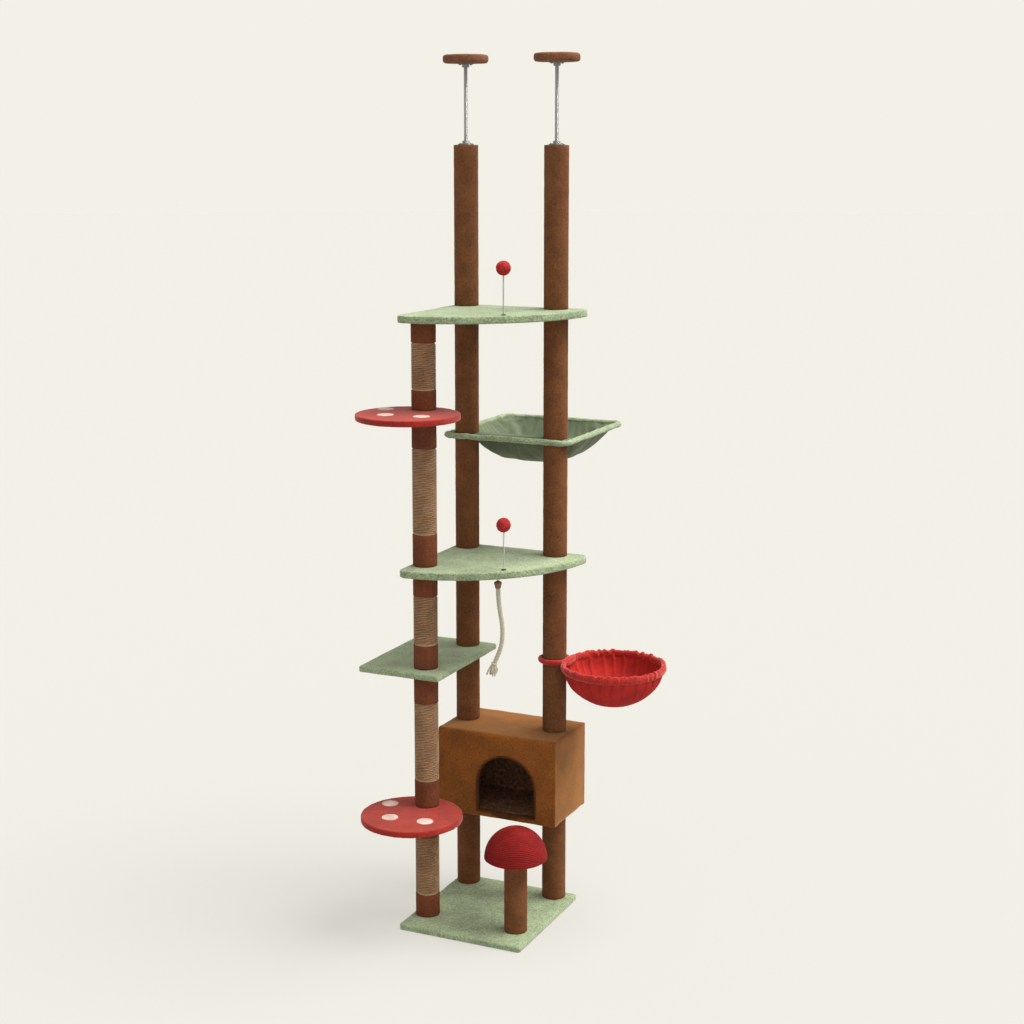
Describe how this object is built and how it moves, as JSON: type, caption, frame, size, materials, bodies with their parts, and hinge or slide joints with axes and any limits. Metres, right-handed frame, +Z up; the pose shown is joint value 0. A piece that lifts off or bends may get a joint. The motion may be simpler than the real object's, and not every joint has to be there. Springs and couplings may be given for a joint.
{
  "type": "cat tree",
  "caption": "Tall floor-to-ceiling cat tree with plush posts, quarter-round shelves, mushroom steps, a box house, a framed hammock, a hanging nest and screw-out ceiling pads.",
  "frame": {"origin": "centre of the base board, on its underside, where the tree stands on the floor", "axes": "+Z up; -Y towards the scratching post and mushroom; +X towards the nest"},
  "size_m": [0.837, 0.933, 2.596],
  "materials": {
    "particle_board": "raw board",
    "black_felt": "needled felt",
    "green_plush": "short pile",
    "dark_fur_lining": "mottled pile",
    "brown_house_plush": "short pile",
    "white_felt": "felt",
    "brown_plush": "short pile",
    "sisal_winding": "wound sisal",
    "coated_steel": "powder coat",
    "green_cloth": "short pile",
    "plated_steel": "nickel plated",
    "zinc_steel": "zinc plated",
    "pad_plush": "short pile",
    "threaded_steel": "rolled thread",
    "red_plush": "short pile",
    "pompom_plush": "pile",
    "spring_steel": "drawn wire",
    "wood_core": "turned wood",
    "red_cord_winding": "wound cord",
    "red_cloth": "brushed cloth",
    "cotton_rope": "twisted cotton",
    "moulded_plastic": "moulded",
    "paper_tube": "spiral wound paper",
    "brown_plastic": "moulded"
  },
  "bodies": {
    "tree": {"base_board": "particle_board", "base_liner": "black_felt", "base_plush": "green_plush", "condo_front_panel": "particle_board", "condo_lining": "dark_fur_lining", "condo_panels": "particle_board", "condo_plush_cover": "brown_house_plush", "disc_spots": "white_felt", "front_post_plush_1": "brown_plush", "front_post_plush_2": "brown_plush", "front_post_plush_3": "brown_plush", "front_post_plush_4": "brown_plush", "front_post_plush_5": "brown_plush", "front_post_sisal": "sisal_winding", "hammock_frame": "coated_steel", "hammock_sling": "green_cloth", "jack_sockets": "plated_steel", "joining_studs": "zinc_steel", "left_post_plush_1": "brown_plush", "left_post_plush_2": "brown_plush", "left_post_plush_3": "brown_plush", "left_post_plush_4": "brown_plush", "left_post_plush_5": "brown_plush", "left_post_plush_6": "brown_plush", "lower_disc_plush": "red_plush", "middle_shelf_plush": "green_plush", "mushroom_cap_core": "wood_core", "mushroom_cap_winding": "red_cord_winding", "mushroom_stem_plush": "brown_plush", "panel_bolts": "zinc_steel", "post_end_plugs": "moulded_plastic", "post_tubes": "paper_tube", "right_post_plush_1": "brown_plush", "right_post_plush_2": "brown_plush", "right_post_plush_3": "brown_plush", "right_post_plush_4": "brown_plush", "right_post_plush_5": "brown_plush", "right_post_plush_6": "brown_plush", "shelf_boards": "particle_board", "side_step_plush": "green_plush", "top_shelf_plush": "green_plush", "toy_sockets": "moulded_plastic", "upper_disc_plush": "red_plush"},
    "left_jack": {"left_jack_rod": "threaded_steel", "left_pad_flange": "plated_steel", "left_ceiling_pad": "pad_plush"},
    "right_jack": {"right_jack_rod": "threaded_steel", "right_pad_flange": "plated_steel", "right_ceiling_pad": "pad_plush"},
    "upper_toy": {"upper_toy_ball": "pompom_plush", "upper_toy_spring": "spring_steel"},
    "lower_toy": {"lower_toy_ball": "pompom_plush", "lower_toy_spring": "spring_steel"},
    "rope": {"play_rope": "cotton_rope", "play_rope_tassel": "cotton_rope", "rope_ferrule": "brown_plastic"},
    "nest": {"nest_ring": "coated_steel", "nest_bowl": "red_cloth"}
  },
  "joints": [
    {"name": "nest_swing", "type": "hinge", "parent": "tree", "child": "nest", "pos_m": [0.138, 0.177, 0.783], "axis": [0, 0, 1], "range_deg": [-45, 90]},
    {"name": "rope_swing", "type": "hinge", "parent": "tree", "child": "rope", "pos_m": [0.065, -0.074, 1.079], "axis": [-0.419, 0.908, 0], "range_deg": [-25, 25]},
    {"name": "left_jack_extend", "type": "slide", "parent": "tree", "child": "left_jack", "axis": [0, 0, 1], "range_m": [-0.18, 0.1]},
    {"name": "right_jack_extend", "type": "slide", "parent": "tree", "child": "right_jack", "axis": [0, 0, 1], "range_m": [-0.18, 0.1]},
    {"name": "lower_toy_bend", "type": "hinge", "parent": "tree", "child": "lower_toy", "pos_m": [0.08, -0.067, 1.138], "axis": [0.419, -0.908, 0], "range_deg": [-30, 30], "stiffness_Nm_per_rad": 0.4, "deforming": ["lower_toy_spring"]},
    {"name": "upper_toy_bend", "type": "hinge", "parent": "tree", "child": "upper_toy", "pos_m": [0.08, -0.067, 1.884], "axis": [0.419, -0.908, 0], "range_deg": [-30, 30], "stiffness_Nm_per_rad": 0.4, "deforming": ["upper_toy_spring"]}
  ]
}
